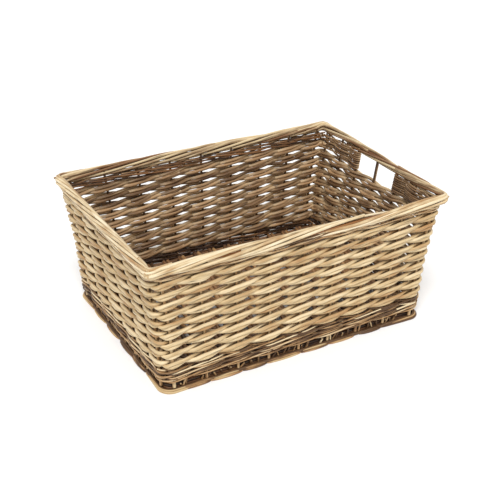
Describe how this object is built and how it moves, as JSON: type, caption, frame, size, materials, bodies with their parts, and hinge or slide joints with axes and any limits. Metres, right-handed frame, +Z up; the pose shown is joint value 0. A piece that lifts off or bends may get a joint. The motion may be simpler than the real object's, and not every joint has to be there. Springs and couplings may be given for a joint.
{
  "type": "wicker hamper",
  "caption": "Open rectangular willow hamper: twined walls that lean out, laid rods round the rim, a woven base and a handle hole in one end.",
  "frame": {"origin": "on the floor under the middle of the base", "axes": "+X along the length, towards the end with the handle hole; +Y across the width; +Z up"},
  "size_m": [0.5, 0.348, 0.215],
  "materials": {
    "siding": "satin",
    "border": "satin",
    "stakes": "satin",
    "upsett": "satin",
    "foot": "satin",
    "base": "satin"
  },
  "bodies": {
    "root": {"front_foot": "foot", "right_foot": "foot", "back_foot": "foot", "left_foot": "foot", "base_stick_1": "base", "base_stick_2": "base", "base_stick_3": "base", "base_stick_4": "base", "base_stick_5": "base", "base_stick_6": "base", "base_weaver": "base", "front_stake_1": "stakes", "front_stake_2": "stakes", "front_stake_3": "stakes", "front_stake_4": "stakes", "front_stake_5": "stakes", "front_stake_6": "stakes", "front_stake_7": "stakes", "front_corner_stake_1": "stakes", "front_corner_stake_2": "stakes", "right_stake_1": "stakes", "right_stake_2": "stakes", "right_stake_3": "stakes", "right_stake_4": "stakes", "right_stake_5": "stakes", "right_corner_stake_1": "stakes", "right_corner_stake_2": "stakes", "back_stake_1": "stakes", "back_stake_2": "stakes", "back_stake_3": "stakes", "back_stake_4": "stakes", "back_stake_5": "stakes", "back_stake_6": "stakes", "back_stake_7": "stakes", "back_corner_stake_1": "stakes", "back_corner_stake_2": "stakes", "left_stake_1": "stakes", "left_stake_2": "stakes", "left_stake_3": "stakes", "left_stake_4": "stakes", "left_stake_5": "stakes", "left_corner_stake_1": "stakes", "left_corner_stake_2": "stakes", "front_upsett": "upsett", "front_siding": "siding", "front_top_wale": "upsett", "right_upsett": "upsett", "right_siding": "siding", "back_upsett": "upsett", "back_siding": "siding", "back_top_wale": "upsett", "left_upsett": "upsett", "left_siding": "siding", "left_top_wale": "upsett", "hole_front_siding": "siding", "hole_back_siding": "siding", "front_border": "border", "right_border": "border", "back_border": "border", "left_border": "border"}
  },
  "joints": []
}
